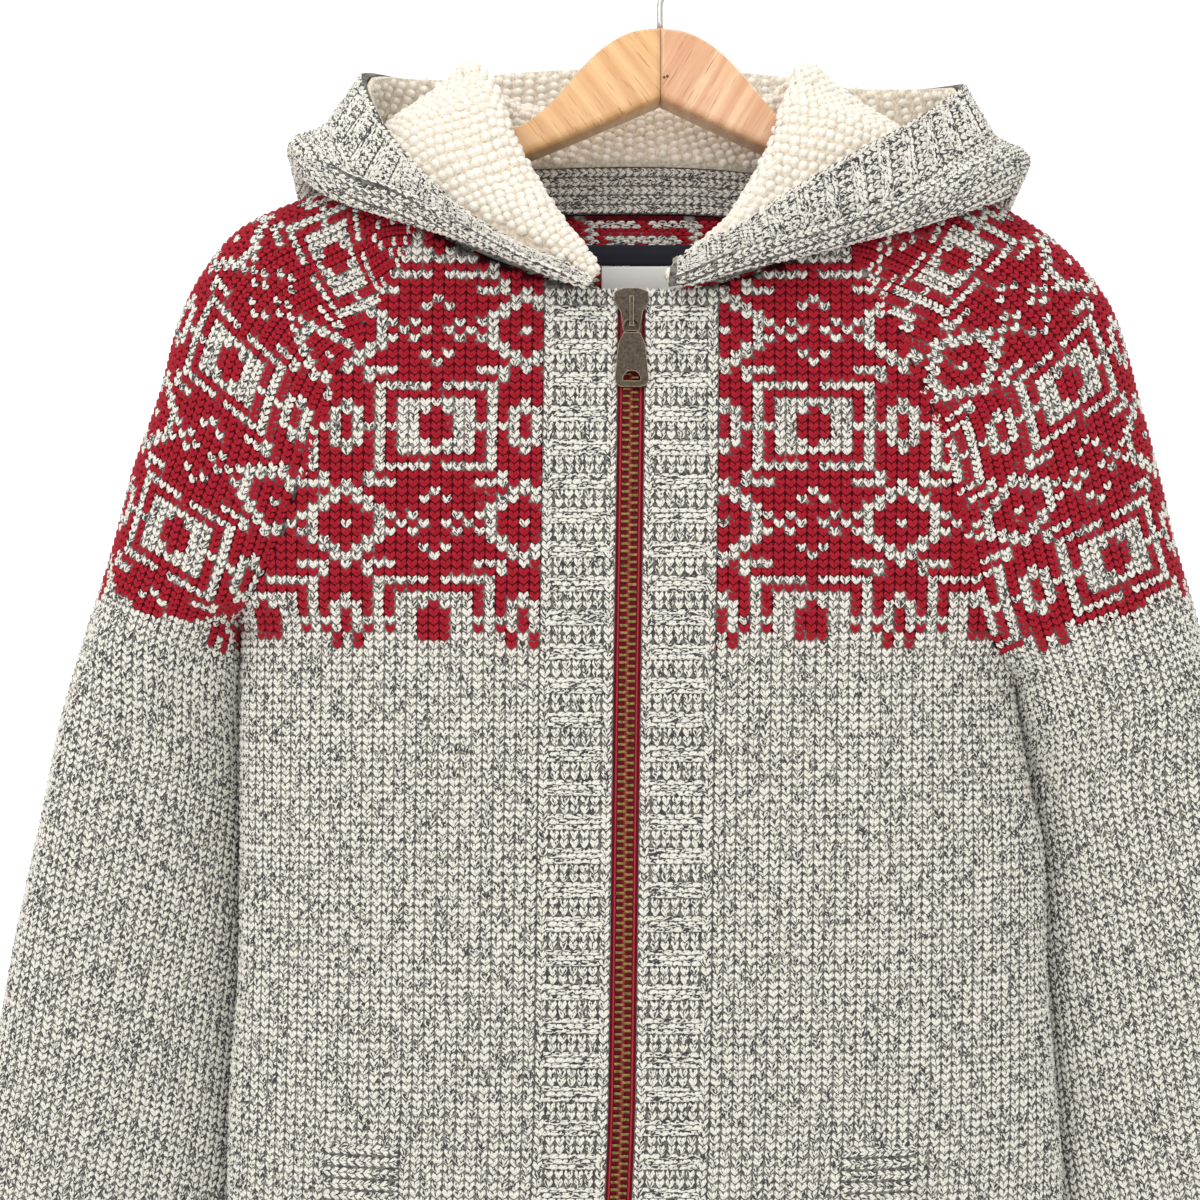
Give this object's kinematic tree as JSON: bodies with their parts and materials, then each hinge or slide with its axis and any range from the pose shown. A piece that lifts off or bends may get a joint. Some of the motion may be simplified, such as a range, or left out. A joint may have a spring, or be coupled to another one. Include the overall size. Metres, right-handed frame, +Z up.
{
  "type": "zip-up hoodie on a hanger",
  "caption": "Chunky knitted zip-up hoodie with a patterned yoke and a lined hood, hung on a wooden hanger.",
  "frame": {"origin": "inside top of the hanger's hook, where a rail carries it", "axes": "+Z up, the garment's front faces -Y, its wearer's left is at +X"},
  "size_m": [0.7205, 0.1766, 0.8184],
  "materials": {
    "yoke_knit": "chunky stranded knit, red and marl",
    "marl_knit": "chunky marl knit",
    "sherpa": "bobbled pile",
    "zip_tape": "woven",
    "navy_tape": "woven",
    "label": "woven satin",
    "brass": "antique",
    "bronze": "antique",
    "wood": "satin lacquer",
    "steel": "polished"
  },
  "bodies": {
    "hoodie": {"body_back": "yoke_knit", "cuff_left": "marl_knit", "cuff_right": "marl_knit", "front_left": "yoke_knit", "front_right": "yoke_knit", "hanger_arm_left": "wood", "hanger_arm_right": "wood", "hanger_hook": "steel", "hem_back": "marl_knit", "hem_front_left": "marl_knit", "hem_front_right": "marl_knit", "hood_band": "marl_knit", "hood_left": "marl_knit", "hood_lining": "sherpa", "hood_right": "marl_knit", "neck_label": "label", "neck_rib": "marl_knit", "neck_tape": "navy_tape", "pocket_welt_left": "marl_knit", "pocket_welt_right": "marl_knit", "sleeve_left": "yoke_knit", "sleeve_right": "yoke_knit", "zip_band_left": "marl_knit", "zip_band_right": "marl_knit", "zip_chain": "brass", "zip_slider": "bronze", "zip_tape_left": "zip_tape", "zip_tape_right": "zip_tape"},
    "pull_tab": {"zip_pull": "bronze"}
  },
  "joints": [
    {"name": "pull_swing", "type": "hinge", "parent": "hoodie", "child": "pull_tab", "pos_m": [-0.01546, -0.041, -0.2172], "axis": [-1, 0, 0], "range_deg": [0, 140]}
  ]
}
